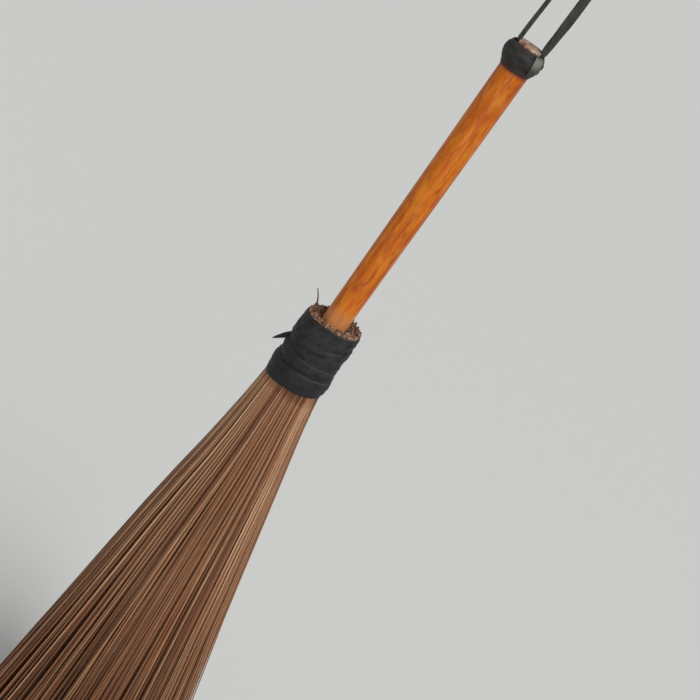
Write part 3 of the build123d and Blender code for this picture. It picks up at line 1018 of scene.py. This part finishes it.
# The tail's section, as shares of its half width across and of its thickness outward
TAIL_SECTION = ((-1.0, 0.0), (-0.8, 0.5), (0.8, 0.5), (1.0, 0.0), (0.8, -0.5), (-0.8, -0.5))
TAIL_EDGE_WEAR = 0.5


def add_tail(vertices, faces, wear_and_highlight):
    """Adds the loose tail to the rib binding's skin, scuffed paler at its two edges."""
    start = len(vertices)
    for index, (reach, depth, height, width, thickness) in enumerate(TAIL_ROUTE):
        before = TAIL_ROUTE[max(index - 1, 0)]
        after = TAIL_ROUTE[min(index + 1, len(TAIL_ROUTE) - 1)]
        along = Vector((before[0] - after[0], after[2] - before[2])).normalized()
        across = Vector((-along.y, 0.0, along.x))
        middle = Vector((HANDLE_X - reach, depth, height))
        for x, y in TAIL_SECTION:
            vertices.append(middle + across * (x * width / 2) + Vector((0.0, y * thickness, 0.0)))
            wear_and_highlight.append(TAIL_EDGE_WEAR if abs(x) == 1.0 else 0.0)
    join_rows(faces, start, len(TAIL_ROUTE), len(TAIL_SECTION))


def strip_piece(name, skin, material, node):
    """Piece of one strip, which stands in for a CAD node."""
    vertices, faces, wear_and_highlight = skin
    piece = new_mesh(name, vertices, faces, material, STRIP_SHARP_ANGLE)
    add_attribute(piece, "edge", wear_and_highlight)
    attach(piece, "broom")
    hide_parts(node)


BUNDLE_RADIUS = 0.0249
BUNDLE_UNEVENNESS = 0.0003


def bundle_core(height, turn):
    """Radius of the bound ribs, a little uneven under the strip."""
    spot = Vector((2.0 * math.cos(turn), 2.0 * math.sin(turn), 90.0 * height))
    return BUNDLE_RADIUS + BUNDLE_UNEVENNESS * noise.noise(spot)


# Radius of what lies under the top strip's turns, at even heights from its foot to its rim: the stick, and
# the strap's ends bunched on it, a little fuller on the left
WRAP_RADII = (0.0132, 0.0138, 0.0145, 0.0152, 0.0157, 0.0160, 0.0162, 0.0160, 0.0151, 0.0139)
WRAP_FULLER_LEFT = 0.0004


def wrap_core(height, turn):
    level = (height - WRAP_LOW) / (WRAP_HIGH - WRAP_LOW)
    fuller_left = WRAP_FULLER_LEFT * math.sin(math.pi * level)
    return through(WRAP_RADII, (len(WRAP_RADII) - 1) * level) - fuller_left * math.cos(turn)


# Heights of the strips' middles at each quarter turn from the back, over the left side: wound downward
# on the ribs, and up and back down on the stick
BINDING_HEIGHTS = (
    0.4797, 0.4797, 0.4796, 0.4794, 0.4765, 0.4690, 0.4616, 0.4660, 0.4620, 0.4535, 0.4482, 0.4448,
    0.4452, 0.4400, 0.4345, 0.4392, 0.4400, 0.4375, 0.4360, 0.4352, 0.4352, 0.4360,
)
WRAP_HEIGHTS = (
    0.7567, 0.7567, 0.7567, 0.7569, 0.7580, 0.7600, 0.7615, 0.7632, 0.7655, 0.7680, 0.7690, 0.7692,
    0.7691, 0.7688, 0.7672, 0.7650, 0.7630, 0.7622, 0.7634, 0.7655, 0.7668, 0.7660, 0.7640, 0.7630,
    0.7640,
)

binding_skin = wind_strip(
    BINDING_HEIGHTS,
    core=bundle_core,
    low=BINDING_LOW,
    high=BINDING_HIGH,
    foot=(FOOT_HEIGHT, FOOT_RISE),
    rim=(RIM_HEIGHT, RIM_RISE),
    width=0.0215,
    thickness=0.00085,
    pinch=0.0008,
    wrinkle=0.00055,
    seed=3,
)
add_tail(*binding_skin)
strip_piece("rib_binding_band", binding_skin, binding_material, "rib_binding")

wrap_skin = wind_strip(
    WRAP_HEIGHTS,
    core=wrap_core,
    low=WRAP_LOW,
    high=WRAP_HIGH,
    foot=(WRAP_LOW, 0.0004),
    rim=(WRAP_HIGH, 0.0),
    width=0.0095,
    thickness=0.00045,
    pinch=0.0,
    wrinkle=0.00035,
    seed=8,
)
strip_piece("top_binding_band", wrap_skin, wrap_material, "top_binding")


# The stick keeps its CAD shape and takes the varnished wood

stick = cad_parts["handle_stick"]
stick.data.materials.clear()
stick.data.materials.append(stick_material)


# Floor and light

FLOOR_SIZE = 12.0
FLOOR_COLOUR = (0.625, 0.630, 0.605, 1.0)
HORIZON_COLOUR = (0.590, 0.595, 0.575, 1.0)
SKY_COLOUR = (0.97, 0.98, 1.0, 1.0)
SKY_STRENGTH = 0.48
LAMP_AIM = Vector((0.0, 0.0, 0.45))


def make_floor():
    material, _, _, shader = new_material("floor_pale")
    shader.inputs["Base Color"].default_value = FLOOR_COLOUR
    shader.inputs["Roughness"].default_value = 1.0
    shader.inputs["Specular IOR Level"].default_value = 0.0
    corners = [(x * FLOOR_SIZE, y * FLOOR_SIZE, 0.0) for x, y in ((-1, -1), (1, -1), (1, 1), (-1, 1))]
    new_mesh("floor", corners, [(0, 1, 2, 3)], material, sharp_angle=30.0)


def make_lamp(name, kind, place, power):
    """Lamp that shines from a place onto the middle of the broom."""
    data = bpy.data.lights.new(name, kind)
    data.energy = power
    lamp = bpy.data.objects.new(name, data)
    bpy.context.scene.collection.objects.link(lamp)
    lamp.location = place
    lamp.rotation_mode = "QUATERNION"
    lamp.rotation_quaternion = (LAMP_AIM - Vector(place)).to_track_quat("-Z", "Y")
    return data


def make_lamps():
    """A wide soft sun from the right, and a round lamp whose light glints along the varnished stick."""
    key = make_lamp("key", "SUN", place=(1.1, -1.6, 2.6), power=2.0)
    key.angle = math.radians(32.0)
    fill = make_lamp("fill", "AREA", place=(0.45, -2.3, 0.55), power=7.0)
    fill.shape = "DISK"
    fill.size = 0.9


def make_world():
    """Even soft light all round; beyond the floor the camera sees the floor's own pale colour."""
    world = bpy.data.worlds.new("studio")
    world.use_nodes = True
    nodes, links = world.node_tree.nodes, world.node_tree.links
    sky = nodes["Background"]
    sky.inputs["Color"].default_value = SKY_COLOUR
    sky.inputs["Strength"].default_value = SKY_STRENGTH
    horizon = nodes.new("ShaderNodeBackground")
    horizon.inputs["Color"].default_value = HORIZON_COLOUR
    path = nodes.new("ShaderNodeLightPath")
    choice = nodes.new("ShaderNodeMixShader")
    share_in, first_in, second_in = choice.inputs
    links.new(path.outputs["Is Camera Ray"], share_in)
    links.new(sky.outputs["Background"], first_in)
    links.new(horizon.outputs["Background"], second_in)
    links.new(choice.outputs["Shader"], nodes["World Output"].inputs["Surface"])
    bpy.context.scene.world = world


make_floor()
make_lamps()
make_world()
bpy.context.scene.view_settings.view_transform = "Standard"
